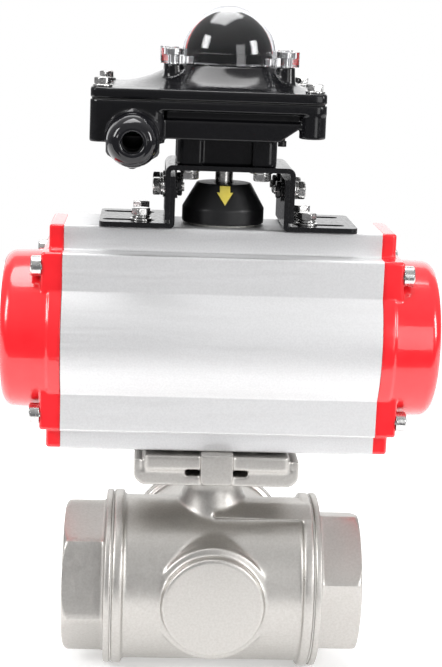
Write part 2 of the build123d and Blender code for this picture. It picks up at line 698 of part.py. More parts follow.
def switch_lid():
    low = box_seam + 0.25
    plan = rounded_plan(box_left, box_right, box_half_y, low, lid_top + 5, 5.0)
    rim = rounded_plan(box_left, box_right, box_half_y, low, lid_edge, 5.0)
    rim = fillet(rim.edges().group_by(Axis.Z)[-1], 0.8)
    shape = rim + (bell(0.0, low) & plan)
    shape += rod_z(bell_r, low, lid_top - 0.1)
    for x, y in corners(ear_x, ear_y):
        shape += rod_z(4.3, lid_edge, lid_top, x, y)
    inside = rounded_plan(box_left + wall, box_right - wall, box_half_y - wall - 5, low - 1, lid_top, 4.0)
    shape -= (bell(-2.6, low - 1) & inside) - rod_z(9.0, 280, lid_top + 1)
    shape -= rod_z(6.0, low - 1, lid_top + 1)
    for x in lid_screw_x:
        for y in (-lid_screw_y, lid_screw_y):
            shape += rod_z(5.4, low, lid_edge + 0.4, x, y)
            shape -= rod_z(2.6, low - 1, lid_edge + 2, x, y)
    for x, y in corners(ear_x, ear_y):
        shape -= rod_z(1.5, lid_top - 8, lid_top + 1, x, y)
    return shape


def lid_gasket():
    low, high = box_seam - 0.25, box_seam + 0.25
    outer = rounded_plan(box_left + 0.9, box_right - 0.9, box_half_y - 0.9, low, high, 4.0)
    shape = outer - block(box_left + wall, box_right - wall, -33, 33, low - 1, high + 1)
    for x in lid_screw_x:
        for y in (-lid_screw_y, lid_screw_y):
            shape -= rod_z(2.6, low - 1, high + 1, x, y)
    return shape


def lid_screw(x, y):
    low = lid_edge + 0.4
    washer = tube_z(4.6, 2.2, low, low + 0.9, x, y)
    head = Pos(x, y, low + 0.95) * hex_rod(7.0, 3.2, 8)
    return [washer, head + rod_z(1.9, 279.0, low + 2, x, y)]


def indicator_dome():
    """A clear half-ball on a flange with four screw ears."""
    flange = rod_z(bell_r + 1.6, lid_top, dome_z)
    for x, y in corners(ear_x, ear_y):
        flange += rod_z(ear_r, lid_top + 0.05, ear_top, x, y)
    web = block(-ear_x, ear_x, -ear_y - 1.5, ear_y + 1.5, lid_top + 0.05, lid_top + 3.4)
    cup = Pos(0, 0, dome_z) * Sphere(dome_r) & block(-40, 40, -40, 40, dome_z - 0.1, dome_z + 40)
    shape = flange + web + cup
    hollow = Pos(0, 0, dome_z) * Sphere(dome_r - 2) & block(-40, 40, -40, 40, dome_z - 0.1, dome_z + 40)
    shape -= hollow + rod_z(dome_r - 2, lid_top - 1, dome_z)
    for x, y in corners(ear_x, ear_y):
        shape -= rod_z(1.9, lid_top - 1, ear_top + 1, x, y) + rod_z(3.3, ear_top - 3.0, ear_top + 1, x, y)
    return shape


def dome_screw(x, y):
    head = rod_z(3.0, ear_top - 2.9, ear_top - 0.3, x, y)
    head -= Pos(x, y, ear_top - 2) * hex_rod(2.5, 3.0)
    return head + rod_z(1.4, lid_top - 7, ear_top - 2.5, x, y)


def rotor_ball(r):
    dome_part = Pos(0, 0, rotor_z) * Sphere(r) & block(-40, 40, -40, 40, rotor_z, rotor_z + 40)
    return dome_part + rod_z(r, lid_top + 0.6, rotor_z)


def vane_wedges():
    """Two opposite sectors, left and right of the shaft."""
    def sector(s):
        outline = Polyline((s * 3.0, 0), (s * 40, vane_spread), (s * 40, -vane_spread), close=True)
        return Pos(0, 0, lid_top) * extrude(make_face(outline), 40)
    return sector(-1), sector(1)


def indicator_rotor():
    shape = rotor_ball(rotor_r)
    for wedge in vane_wedges():
        shape -= wedge - rotor_ball(rotor_r - vane_depth)
    return shape - rod_z(switch_shaft_r, lid_top, 316)


def indicator_vanes():
    skin = rotor_ball(rotor_r - 0.1) - rotor_ball(rotor_r - vane_depth + 0.05)
    return group([skin & wedge for wedge in vane_wedges()])


def switch_shaft():
    shape = rod_z(switch_shaft_r, stub_top + 0.2, 315.5)
    tongue = block(-4.2, 4.2, -1.9, 1.9, stub_top - 6.8, stub_top + 1) & rod_z(switch_shaft_r, 230, 250)
    return shape + tongue


def switch_cam(low, angle):
    ring = rod_z(9.0, low, low + 3.6) + (Rot(0, 0, angle) * Pos(7.0, 0, low + 1.8) * Cylinder(4.2, 3.6))
    return ring - rod_z(switch_shaft_r, low - 1, low + 5)


def micro_switch(y):
    """A snap-action switch with its lever, standing beside the cams."""
    side = 1 if y > 0 else -1
    case = block(-10, 10, y - 5.0, y + 5.0, box_low_mid + wall, 286.0)
    case = chamfer(case.edges().filter_by(Axis.Z), 0.8)
    lever = block(-9, 6, y - side * 5.9 - 0.2, y - side * 5.9 + 0.2, 278.0, 284.0)
    hinge = block(-9, -8, y - side * 5.5 - 0.6, y - side * 5.5 + 0.6, 278.0, 284.0)
    return [case + hinge + lever]


def terminal_block():
    shape = block(-58.0, -40.0, -26.0, 26.0, box_low_left + wall, 283.0)
    for i in range(8):
        y = -22.4 + 6.4 * i
        shape -= rod_z(1.9, 279.0, 284.0, -49.0, y) + block(-59, -54, y - 1.6, y + 1.6, 275.0, 279.0)
    return shape


def gland_body():
    spin = Pos(gland_x, -gland_face, gland_z) * Rot(90, 0, 0)
    flange = hex_rod(gland_af, 6.0, 30) & (rod_z(13.6, 0, 5) + cone_z(13.6, 12.4, 5, 6))
    shape = flange + rod_z(9.8, -7.5, 0.5) + rod_z(8.6, 5.5, 16.0)
    return spin * (shape - rod_z(6.6, -9, 18))


def gland_nut():
    spin = Pos(gland_x, -gland_face, gland_z) * Rot(90, 0, 0)
    outline = [(8.7, 6.4), (11.9, 6.4), (12.1, 8.0), (11.9, 17.0), (11.0, 21.5), (8.8, 25.2), (5.6, 26.6),
               (4.7, 26.6), (4.7, 24.0), (8.7, 19.5)]
    shape = turned(outline)
    for k in range(6):
        shape -= Rot(0, 0, 60 * k) * block(11.55, 14, -7, 7, 6, 14.5)
    return spin * shape


def gland_seal():
    spin = Pos(gland_x, -gland_face, gland_z) * Rot(90, 0, 0)
    outline = [(cable_r, 8.0), (6.5, 8.0), (6.5, 16.1), (8.4, 16.1), (8.4, 19.0), (cable_r + 0.6, 23.3),
               (cable_r, 23.0)]
    return spin * turned(outline)


def ground_screw():
    head = rod_z(2.0, box_low_mid - 2.6, box_low_mid, 25.2, -30)
    head -= block(20, 30, -30.3, -29.7, box_low_mid - 3, box_low_mid - 1.8)
    return head + rod_z(1.35, box_low_mid - 1, box_low_mid + 2.2, 25.2, -30)


# ---- the set of nodes ----
def nodes():
    made = {
        "valve_body": valve_body(),
        "left_port_cap": ports["left"] * port_cap(hex_turn),
        "right_port_cap": ports["right"] * port_cap(hex_turn),
        "rear_port_cap": ports["rear"] * port_cap(0),
        "body_gaskets": group(place * body_gasket() for place in ports.values()),
        "ball_seats": group([place * ball_seat() for place in ports.values()] + [front_seat()]),
        "ball": ball(),
        "stem": stem(),
        "stem_thrust_washer": tube_z(collar_r - fit, stem_r + fit, 84.1, 85.9),
        "stem_packing": stem_packing(),
        "gland_follower": tube_z(packing_r - fit, stem_r + fit, 106.6, 110.1),
        "disc_springs": disc_springs(),
        "stem_nut": stem_nut(),
        "pad_bolts": group(pad_bolt(x, y) for x, y in corners(pad_bolt_spacing / 2, pad_bolt_spacing / 2)),
        "actuator_housing": actuator_housing(),
        "right_end_cap": end_cap(),
        "left_end_cap": half_turn(end_cap()),
        "cap_seals": group([cap_seal(), half_turn(cap_seal())]),
        "cap_bolts": group(all_cap_bolts()),
        "right_piston": piston(),
        "left_piston": half_turn(piston()),
        "right_piston_seal": piston_seal(),
        "left_piston_seal": half_turn(piston_seal()),
        "right_rack_pad": rack_pad(),
        "left_rack_pad": half_turn(rack_pad()),
        "pinion": pinion(),
        "stop_cam": stop_cam(),
        "stop_screws": group(stop_screw(-stop_x) + stop_screw(stop_x)),
        "pinion_bearings": pinion_bearings(),
        "pinion_washer": tube_z(17.0, stub_r + 0.3, top_z, top_z + 0.9),
        "pinion_circlip": circlip(),
        "indicator_puck": indicator_puck(),
        "puck_arrow": puck_arrow(),
        "bracket": bracket(),
        "left_foot": foot(-1),
        "right_foot": foot(1),
        "foot_bolts": group(piece for x, y in corners(namur_x, namur_y) for piece in foot_bolt(x, y)),
        "leg_bolts": leg_bolts(),
        "leg_nuts": leg_nuts(),
        "box_bolts": group(piece for x, y in corners(pillar_at, pillar_at) for piece in box_bolt(x, y)),
        "switch_base": switch_base(),
        "switch_lid": switch_lid(),
        "lid_gasket": lid_gasket(),
        "lid_screws": group(piece for x in lid_screw_x for y in (-lid_screw_y, lid_screw_y)
                            for piece in lid_screw(x, y)),
        "indicator_dome": indicator_dome(),
        "dome_screws": group(dome_screw(x, y) for x, y in corners(ear_x, ear_y)),
        "indicator_rotor": indicator_rotor(),
        "indicator_vanes": indicator_vanes(),
        "switch_shaft": switch_shaft(),
        "shaft_bush": tube_z(6.95, switch_shaft_r + fit, bracket_top + 0.2, 274.0),
        "switch_cams": group([switch_cam(276.5, 60), switch_cam(281.5, -60)]),
        "micro_switches": group(micro_switch(-20.5) + micro_switch(20.5)),
        "terminal_block": terminal_block(),
        "gland_body": gland_body(),
        "gland_nut": gland_nut(),
        "gland_seal": gland_seal(),
        "ground_screw": ground_screw(),
    }
    return made


def front_seat():
    return Pos(0, 0, axis_z) * Rot(90, 0, 0) * ball_seat()


def all_cap_bolts():
    right = [cap_bolt(y, dz) for y, dz in corners(cap_bolt_y, cap_bolt_dz)]
    return right + [half_turn(bolt) for bolt in right]


def main():
    os.makedirs("parts", exist_ok=True)
    for name, shape in nodes().items():
        export_step(shape, f"parts/{name}.step")
        print(name, round(shape.volume / 1000, 2), "cm3")


main()
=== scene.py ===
import json
import math

import bmesh
import bpy
from mathutils import Matrix, Vector


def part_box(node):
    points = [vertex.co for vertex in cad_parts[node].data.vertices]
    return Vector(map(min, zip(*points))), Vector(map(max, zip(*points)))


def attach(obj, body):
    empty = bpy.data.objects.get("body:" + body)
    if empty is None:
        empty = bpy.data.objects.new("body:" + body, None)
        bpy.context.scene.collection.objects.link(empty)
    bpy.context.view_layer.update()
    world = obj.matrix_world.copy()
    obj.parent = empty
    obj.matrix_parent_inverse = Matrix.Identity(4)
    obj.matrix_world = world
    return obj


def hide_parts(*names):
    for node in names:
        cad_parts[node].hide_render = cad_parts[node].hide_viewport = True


# Looks for a three-way ball valve with a rack-and-pinion air actuator and a limit-switch box.
# Metres, in the CAD frame: +Z along the stem, +X along the pipe, the third port towards +Y.

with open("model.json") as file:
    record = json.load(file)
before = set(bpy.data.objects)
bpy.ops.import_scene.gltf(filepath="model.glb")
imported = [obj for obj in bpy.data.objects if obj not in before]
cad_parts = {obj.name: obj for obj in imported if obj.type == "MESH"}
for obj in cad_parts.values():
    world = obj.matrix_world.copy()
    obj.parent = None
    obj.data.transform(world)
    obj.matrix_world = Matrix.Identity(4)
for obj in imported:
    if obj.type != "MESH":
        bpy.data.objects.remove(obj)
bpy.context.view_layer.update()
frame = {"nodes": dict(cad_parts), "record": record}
nodes = frame["nodes"]
body_of_node = {n: b for b, ns in frame["record"]["behaviour"]["bodies"].items() for n in ns}
slot_of_node = {part["node"]: part["material_slot"] for part in frame["record"]["subparts"]}
MM = 0.001
AXIS_Z = 44.0                       # height of the port axes, in mm
M5_BOLT = (8.0, 2.5, 0.8, 3.6)      # across flats, shank radius, pitch and head length, in mm
M4_SCREW = (7.0, 1.9, 0.7, 3.2)


# ---- camera, floor and lights ----
def make_camera():
    camera = bpy.data.objects.new("camera", bpy.data.cameras.new("camera"))
    bpy.context.scene.collection.objects.link(camera)
    bpy.context.scene.camera = camera
    camera.data.sensor_width = 36.0
    camera.data.lens = 85.0
    camera.data.clip_start, camera.data.clip_end = 0.05, 50.0
    yaw, pitch, roll = (math.radians(a) for a in (2.91, 11.63, 2.10))
    turn = Matrix.Rotation(-yaw, 4, "Z") @ Matrix.Rotation(math.pi / 2 - pitch, 4, "X")
    turn = turn @ Matrix.Rotation(roll, 4, "Z")
    camera.matrix_world = Matrix.Translation((-0.03775, -0.76837, 0.33019)) @ turn


def area_light(name, place, target, size, power):
    """A rectangular softbox that faces a target point."""
    lamp = bpy.data.lights.new(name, "AREA")
    lamp.shape = "RECTANGLE"
    lamp.size, lamp.size_y = size
    lamp.energy = power
    holder = bpy.data.objects.new(name, lamp)
    bpy.context.scene.collection.objects.link(holder)
    holder.location = place
    aim = Vector(target) - Vector(place)
    holder.rotation_mode = "QUATERNION"
    holder.rotation_quaternion = aim.to_track_quat("-Z", "Y")


def make_stage():
    half, front, back = 1.6, -0.3, 1.25
    mesh = bpy.data.meshes.new("floor")
    corners = [(-half, front, 0), (half, front, 0), (half, back, 0), (-half, back, 0)]
    mesh.from_pydata(corners, [], [(0, 1, 2, 3)])
    floor = bpy.data.objects.new("floor", mesh)
    bpy.context.scene.collection.objects.link(floor)
    paint = bpy.data.materials.new("floor")
    paint.use_nodes = True
    shader = paint.node_tree.nodes["Principled BSDF"]
    shader.inputs["Base Color"].default_value = (0.86, 0.86, 0.86, 1)
    shader.inputs["Roughness"].default_value = 0.9
    shader.inputs["Emission Color"].default_value = (1, 1, 1, 1)
    shader.inputs["Emission Strength"].default_value = 0.34
    mesh.materials.append(paint)


def make_world():
    """A dim room that is lighter overhead, in front of a white backdrop that only the camera sees."""
    world = bpy.data.worlds.new("studio")
    bpy.context.scene.world = world
    world.use_nodes = True
    tree = world.node_tree
    room = tree.nodes["Background"]
    room.inputs["Strength"].default_value = 0.62
    split = tree.nodes.new("ShaderNodeSeparateXYZ")
    tree.links.new(tree.nodes.new("ShaderNodeTexCoord").outputs["Generated"], split.inputs["Vector"])
    ramp = tree.nodes.new("ShaderNodeValToRGB")
    ramp.color_ramp.elements[0].position, ramp.color_ramp.elements[0].color = 0.0, (0.34, 0.34, 0.35, 1)
    ramp.color_ramp.elements[1].position, ramp.color_ramp.elements[1].color = 0.9, (1.0, 1.0, 1.0, 1)
    tree.links.new(split.outputs["Z"], ramp.inputs["Fac"])
    tree.links.new(ramp.outputs["Color"], room.inputs["Color"])
    backdrop = tree.nodes.new("ShaderNodeBackground")
    backdrop.inputs["Color"].default_value = (1, 1, 1, 1)
    mix = tree.nodes.new("ShaderNodeMixShader")
    tree.links.new(tree.nodes.new("ShaderNodeLightPath").outputs["Is Camera Ray"], mix.inputs["Fac"])
    tree.links.new(room.outputs["Background"], mix.inputs[1])
    tree.links.new(backdrop.outputs["Background"], mix.inputs[2])
    tree.links.new(mix.outputs["Shader"], tree.nodes["World Output"].inputs["Surface"])


def make_lights():
    middle = (0, 0, 0.18)
    area_light("left_softbox", (-1.0, -0.55, 0.75), middle, (0.34, 0.58), 8.5)
    area_light("right_softbox", (1.05, -0.60, 0.60), middle, (0.32, 0.56), 8.5)
    area_light("top_softbox", (-0.1, 0.10, 1.25), middle, (0.85, 0.62), 10.5)
    area_light("rear_softbox", (0.0, 1.5, 0.72), (0, 0, 0.25), (2.4, 1.2), 10.0)
    area_light("right_fill", (0.55, -1.15, 0.42), middle, (0.45, 0.7), 2.6)
    bpy.context.scene.view_settings.view_transform = "Standard"


# ---- materials ----
class Paint:
    """A material with one Principled shader, patterned in the row frame's own coordinates."""

    def __init__(self, name, colour, rough, metal=0.0, edge_mm=0.3, **extra):
        self.material = bpy.data.materials.new(name)
        self.material.use_nodes = True
        self.tree = self.material.node_tree
        self.shader = self.tree.nodes["Principled BSDF"]
        self.where = self.tree.nodes.new("ShaderNodeTexCoord").outputs["Object"]
        edge = self.tree.nodes.new("ShaderNodeBevel")
        edge.samples = 6
        edge.inputs["Radius"].default_value = edge_mm * MM
        self.last_normal = edge.outputs["Normal"]
        self.shader.inputs["Base Color"].default_value = (*colour, 1)
        self.shader.inputs["Roughness"].default_value = rough
        self.shader.inputs["Metallic"].default_value = metal
        for socket, value in extra.items():
            self.shader.inputs[socket.replace("_", " ")].default_value = value

    def noise(self, size_mm, detail=3.0, stretch=(1, 1, 1)):
        """Noise whose features are about size_mm across, longer along an axis whose stretch is above 1."""
        mapping = self.tree.nodes.new("ShaderNodeMapping")
        mapping.inputs["Scale"].default_value = [1 / s for s in stretch]
        self.tree.links.new(self.where, mapping.inputs["Vector"])
        node = self.tree.nodes.new("ShaderNodeTexNoise")
        node.inputs["Scale"].default_value = 1 / (size_mm * MM)
        node.inputs["Detail"].default_value = detail
        self.tree.links.new(mapping.outputs["Vector"], node.inputs["Vector"])
        return node.outputs["Fac"]

    def ramp(self, source, stops):
        node = self.tree.nodes.new("ShaderNodeValToRGB")
        elements = node.color_ramp.elements
        while len(elements) < len(stops):
            elements.new(0.5)
        for element, (at, colour) in zip(elements, stops):
            element.position = at
            element.color = (*colour, 1)
        self.tree.links.new(source, node.inputs["Fac"])
        return node.outputs["Color"]

    def vary_colour(self, source, low, high, start=0.35, end=0.65):
        self.tree.links.new(self.ramp(source, [(start, low), (end, high)]), self.shader.inputs["Base Color"])

    def vary_rough(self, source, low, high, start=0.3, end=0.7):
        node = self.tree.nodes.new("ShaderNodeMapRange")
        node.inputs["From Min"].default_value = start
        node.inputs["From Max"].default_value = end
        node.inputs["To Min"].default_value = low
        node.inputs["To Max"].default_value = high
        self.tree.links.new(source, node.inputs["Value"])
        self.tree.links.new(node.outputs["Result"], self.shader.inputs["Roughness"])

    def bump(self, source, height_mm, strength=1.0):
        node = self.tree.nodes.new("ShaderNodeBump")
        node.inputs["Distance"].default_value = height_mm * MM
        node.inputs["Strength"].default_value = strength
        self.tree.links.new(source, node.inputs["Height"])
        self.tree.links.new(self.last_normal, node.inputs["Normal"])
        self.tree.links.new(node.outputs["Normal"], self.shader.inputs["Normal"])
        self.last_normal = node.outputs["Normal"]


def cast_steel():
    """Shot-blasted investment casting: warm grey, with a fine sandy grain."""
    paint = Paint("cast_steel", (0.53, 0.51, 0.485), 0.42, 1.0)
    paint.vary_colour(paint.noise(1.1, 4), (0.505, 0.488, 0.463), (0.555, 0.54, 0.517))
    paint.vary_rough(paint.noise(2.0, 4), 0.38, 0.46)
    paint.bump(paint.noise(4.0, 2), 0.03, 0.30)
    paint.bump(paint.noise(0.5, 3), 0.022, 0.55)
    return paint.material


def machined_steel():
    paint = Paint("machined_steel", (0.66, 0.65, 0.63), 0.24, 1.0)
    paint.vary_rough(paint.noise(1.2, 3, (1, 1, 0.15)), 0.18, 0.30)
    paint.bump(paint.noise(0.8, 2, (1, 1, 0.12)), 0.015, 0.5)
    return paint.material


def bolt_steel():
    paint = Paint("bolt_steel", (0.70, 0.70, 0.69), 0.20, 1.0)
    paint.vary_colour(paint.noise(2.0, 3), (0.62, 0.61, 0.60), (0.76, 0.76, 0.75))
    paint.vary_rough(paint.noise(0.9, 3), 0.14, 0.30)
    paint.bump(paint.noise(0.5, 2), 0.01, 0.5)
    return paint.material


def spring_steel():
    paint = Paint("spring_steel", (0.40, 0.39, 0.37), 0.35, 1.0)
    paint.vary_rough(paint.noise(1.5, 3), 0.28, 0.42)
    return paint.material


def anodised():
    """Satin anodised extrusion: a fine grain, with faint drawing lines along X."""
    paint = Paint("anodised", (0.76, 0.76, 0.765), 0.58, 1.0)
    paint.vary_colour(paint.noise(0.9, 3), (0.745, 0.745, 0.75), (0.79, 0.79, 0.795))
    paint.vary_rough(paint.noise(1.4, 3, (30, 1, 1)), 0.54, 0.62)
    paint.bump(paint.noise(0.7, 2, (60, 1, 1)), 0.012, 0.35)
    paint.bump(paint.noise(0.45, 3), 0.014, 0.45)
    return paint.material


def red_enamel():
    """Thick stove enamel over a casting, with some orange peel."""
    paint = Paint("red_enamel", (0.86, 0.012, 0.020), 0.22, 0.0, Coat_Weight=0.7, Coat_Roughness=0.04)
    paint.vary_colour(paint.noise(14, 2), (0.84, 0.010, 0.018), (0.89, 0.016, 0.024))
    paint.bump(paint.noise(2.4, 2), 0.05, 0.30)
    return paint.material


def black_sheet():
    """Powder coat on sheet steel."""
    paint = Paint("black_sheet", (0.006, 0.006, 0.007), 0.20, 0.0, edge_mm=0.4)
    paint.vary_rough(paint.noise(1.6, 3), 0.15, 0.26)
    paint.bump(paint.noise(0.9, 2), 0.014, 0.35)
    return paint.material


def black_coat():
    """Satin black paint on a die casting, with a fine orange peel."""
    paint = Paint("black_coat", (0.005, 0.005, 0.006), 0.16, 0.0, edge_mm=0.6, Specular_IOR_Level=0.40)
    paint.vary_rough(paint.noise(2.2, 3), 0.12, 0.21)
    paint.bump(paint.noise(1.6, 2), 0.012, 0.30)
    return paint.material


def black_plastic():
    paint = Paint("black_plastic", (0.010, 0.010, 0.011), 0.42, 0.0, edge_mm=0.6, Specular_IOR_Level=0.4)
    paint.vary_rough(paint.noise(1.8, 3), 0.36, 0.48)
    paint.bump(paint.noise(0.4, 3), 0.012, 0.45)
    return paint.material


def black_gloss():
    paint = Paint("black_gloss", (0.006, 0.006, 0.008), 0.08, 0.0)
    paint.vary_rough(paint.noise(4.0, 3), 0.05, 0.13)
    paint.bump(paint.noise(6.0, 1), 0.012, 0.3)
    return paint.material


def rotor_black():
    """Dull black moulding under the dome, so that only the dome shows sharp reflections."""
    paint = Paint("rotor_black", (0.0035, 0.0035, 0.004), 0.5, 0.0, Specular_IOR_Level=0.08)
    paint.vary_rough(paint.noise(2.0, 3), 0.42, 0.58)
    paint.bump(paint.noise(0.5, 2), 0.01, 0.3)
    return paint.material


def coloured(name, low, high, rough, grain_mm=0.02):
    """A moulded plastic or rubber with slight mottling and a fine surface."""
    paint = Paint(name, high, rough, 0.0)
    paint.vary_colour(paint.noise(5.0, 3), low, high)
    paint.vary_rough(paint.noise(1.5, 3), rough * 0.85, rough * 1.15)
    paint.bump(paint.noise(0.6, 2), grain_mm, 0.4)
    return paint.material


def coloured_metal(name, colour, rough):
    paint = Paint(name, colour, rough, 1.0)
    low = tuple(c * 0.92 for c in colour)
    paint.vary_colour(paint.noise(6.0, 3), low, colour)
    paint.vary_rough(paint.noise(1.4, 3), rough * 0.85, rough * 1.15)
    paint.bump(paint.noise(0.7, 3), 0.02, 0.4)
    return paint.material


def clear_dome():
    """Clear polycarbonate, with the very slight waviness of a moulding."""
    paint = Paint("clear_dome", (0.98, 0.985, 1.0), 0.0, 0.0, Transmission_Weight=1.0, IOR=1.46)
    paint.vary_rough(paint.noise(8.0, 2), 0.0, 0.012)
    paint.bump(paint.noise(9.0, 1), 0.01, 0.25)
    return paint.material


def make_paints():
    return {
        "cast_steel": cast_steel(),
        "machined_steel": machined_steel(),
        "bolt_steel": bolt_steel(),
        "spring_steel": spring_steel(),
        "anodised": anodised(),
        "cast_aluminium": coloured_metal("cast_aluminium", (0.60, 0.60, 0.60), 0.45),
        "nickel_steel": coloured_metal("nickel_steel", (0.58, 0.57, 0.54), 0.28),
        "red_enamel": red_enamel(),
        "black_sheet": black_sheet(),
        "black_coat": black_coat(),
        "black_plastic": black_plastic(),
        "black_gloss": black_gloss(),
        "ptfe": coloured("ptfe", (0.80, 0.79, 0.76), (0.88, 0.87, 0.84), 0.40),
        "acetal": coloured("acetal", (0.74, 0.73, 0.68), (0.82, 0.81, 0.76), 0.35),
        "yellow_print": coloured("yellow_print", (0.86, 0.70, 0.11), (0.93, 0.78, 0.16), 0.38),
        "red_plastic": coloured("red_plastic", (0.74, 0.02, 0.02), (0.82, 0.03, 0.03), 0.25),
        "rubber": coloured("rubber", (0.020, 0.020, 0.020), (0.032, 0.032, 0.032), 0.70, 0.03),
        "green_plastic": coloured("green_plastic", (0.07, 0.26, 0.12), (0.10, 0.32, 0.16), 0.40),
        "clear_dome": clear_dome(),
    }


def paint_nodes(paints):
    """Every CAD node gets the finish that the record names for it."""
    for part in frame["record"]["subparts"]:
        mesh = nodes[part["node"]].data
        mesh.materials.clear()
        mesh.materials.append(paints[part["material_slot"]])
    nodes["indicator_rotor"].data.materials[0] = rotor_black()


# ---- mesh helpers, in millimetres ----
class Shape:
    """Collects the closed surfaces that make up one piece."""

    def __init__(self):
        self.verts, self.faces = [], []

    def lathe(self, place, rings, steps=48, closed=False):
        """Surface through rings of (radius, height); a radius may be a function of the angle."""
        first = len(self.verts)
        for radius, height in rings:
            for i in range(steps):
                angle = math.tau * i / steps
                r = radius(angle) if callable(radius) else radius
                self.verts.append(place @ Vector((r * math.cos(angle), r * math.sin(angle), height)))
        count = len(rings)
        for k in range(count if closed else count - 1):
            low, high = first + k * steps, first + (k + 1) % count * steps
            for i in range(steps):
                j = (i + 1) % steps
                self.faces.append((low + i, low + j, high + j, high + i))
        if not closed:
            self.faces.append(tuple(first + i for i in reversed(range(steps))))
            self.faces.append(tuple(first + (count - 1) * steps + i for i in range(steps)))

    def coil(self, place, inner, outer, low, high, rise, gap_deg=14, steps=44):
        """A split ring of rectangular section that climbs by rise from one end to the other."""
        first = len(self.verts)
        for i in range(steps + 1):
            share = i / steps
            angle = math.radians(gap_deg / 2 + (360 - gap_deg) * share)
            for r, z in ((inner, low), (outer, low), (outer, high - rise), (inner, high - rise)):
                point = Vector((r * math.cos(angle), r * math.sin(angle), z + rise * share))
                self.verts.append(place @ point)
        for i in range(steps):
            for k in range(4):
                a, b = first + 4 * i + k, first + 4 * i + (k + 1) % 4
                self.faces.append((a, b, b + 4, a + 4))
        self.faces.append((first + 3, first + 2, first + 1, first))
        self.faces.append(tuple(first + 4 * steps + k for k in range(4)))

    def mesh(self, name):
        data = bpy.data.meshes.new(name)
        data.from_pydata([v * MM for v in self.verts], [], self.faces)
        work = bmesh.new()
        work.from_mesh(data)
        bmesh.ops.recalc_face_normals(work, faces=work.faces)
        work.to_mesh(data)
        work.free()
        return data


def new_object(name, mesh):
    piece = bpy.data.objects.new(name, mesh)
    bpy.context.scene.collection.objects.link(piece)
    return piece


def baked(piece):
    """The object's mesh with its modifiers applied."""
    depsgraph = bpy.context.evaluated_depsgraph_get()
    depsgraph.update()
    mesh = bpy.data.meshes.new_from_object(piece.evaluated_get(depsgraph))
    piece.modifiers.clear()
    piece.data = mesh
    return mesh


def stand_for(piece, node, sharp_deg=32):
    """Shade and paint a piece that replaces a CAD node, and let it ride with the node's body."""
    slot = slot_of_node[node]
    piece.data.materials.clear()
    piece.data.materials.append(paints[slot])
    piece.data.shade_smooth()
    piece.data.set_sharp_from_angle(angle=math.radians(sharp_deg))
    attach(piece, body_of_node[node])
    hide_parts(node)


def moulded(name, node, source, voxel_mm, rounds, keep, joins=None, join_rounds=0):
    """Rebuild a surface on a fine grid and relax it, which rounds its corners and fillets its roots."""
    piece = new_object(name, source)
    grid = piece.modifiers.new("grid", "REMESH")
    grid.mode = "VOXEL"
    grid.voxel_size = voxel_mm * MM
    baked(piece)
    relax = piece.modifiers.new("relax", "SMOOTH")
    relax.factor, relax.iterations = 0.5, rounds
    if joins:
        group = piece.vertex_groups.new(name="joins")
        for vertex in piece.data.vertices:
            weight = joins(vertex.co / MM)
            if weight > 0:
                group.add([vertex.index], weight, "REPLACE")
        fillet = piece.modifiers.new("fillet", "SMOOTH")
        fillet.factor, fillet.iterations, fillet.vertex_group = 0.5, join_rounds, "joins"
    thin = piece.modifiers.new("thin", "DECIMATE")
    thin.ratio = keep
    baked(piece)
    stand_for(piece, node, 60)


def solids_of(node):
    """Lowest and highest corner of each separate solid in a CAD node, in millimetres."""
    mesh = nodes[node].data
    index, parent, of_vertex = {}, [], []

    def root(i):
        while parent[i] != i:
            parent[i] = parent[parent[i]]
            i = parent[i]
        return i

    for vertex in mesh.vertices:
        key = tuple(round(c, 6) for c in vertex.co)
        if key not in index:
            index[key] = len(parent)
            parent.append(len(parent))
        of_vertex.append(index[key])
    for face in mesh.polygons:
        corners = [of_vertex[i] for i in face.vertices]
        for other in corners[1:]:
            parent[root(other)] = root(corners[0])
    groups = {}
    for vertex, i in zip(mesh.vertices, of_vertex):
        groups.setdefault(root(i), []).append(nodes[node].matrix_world @ vertex.co / MM)
    boxes = [tuple(Vector([pick(p[k] for p in g) for k in range(3)]) for pick in (min, max))
             for g in groups.values()]
    return sorted(boxes, key=lambda box: tuple(box[0]))


# ---- fasteners ----
def hexagon(across_flats, turn_deg=0.0, corner_r=1e9):
    """Radius of a hexagon as a function of the angle, with its corners turned down."""
    def radius(angle):
        part = (angle - math.radians(turn_deg) + math.pi / 6) % (math.pi / 3) - math.pi / 6
        return min(across_flats / 2 / math.cos(part), corner_r)
    return radius


def smaller(radius, limit):
    return lambda angle: min(radius(angle), limit)


def hex_head(shape, place, across_flats, low, high, turn_deg):
    """A head or nut with both its ends turned to a 30 degree chamfer."""
    flat = across_flats / 2
    plan = hexagon(across_flats, turn_deg)
    steps = 4
    rings = [(flat * 0.5, low), (flat * 0.96, low)]
    for k in range(1, steps + 1):
        rings.append((smaller(plan, flat * (0.96 + 0.2 * k / steps)), low + flat * 0.11 * k / steps))
    for k in range(steps, 0, -1):
        rings.append((smaller(plan, flat * (0.94 + 0.22 * k / steps)), high - flat * 0.13 * k / steps))
    rings += [(flat * 0.94, high), (flat * 0.90, high), (flat * 0.82, high - 0.12), (flat * 0.3, high - 0.12)]
    shape.lathe(place, rings)


def threaded(shape, place, radius, low, high, pitch):
    """A screw shank with a real helical thread and a chamfered end at its low end."""
    depth = 0.6 * pitch
    rings = [(radius * 0.5, low), (radius - depth, low)]
    count = int((high - low) / pitch * 6)

    def at(height):
        fade = min(1.0, (height - low) / pitch)
        def r(angle):
            phase = (height / pitch + angle / math.tau) % 1.0
            return radius - depth + depth * fade * abs(1 - 2 * phase)
        return r
    for k in range(1, count + 1):
        height = low + (high - low) * k / count
        rings.append((at(height), height))
    shape.lathe(place, rings, steps=36)


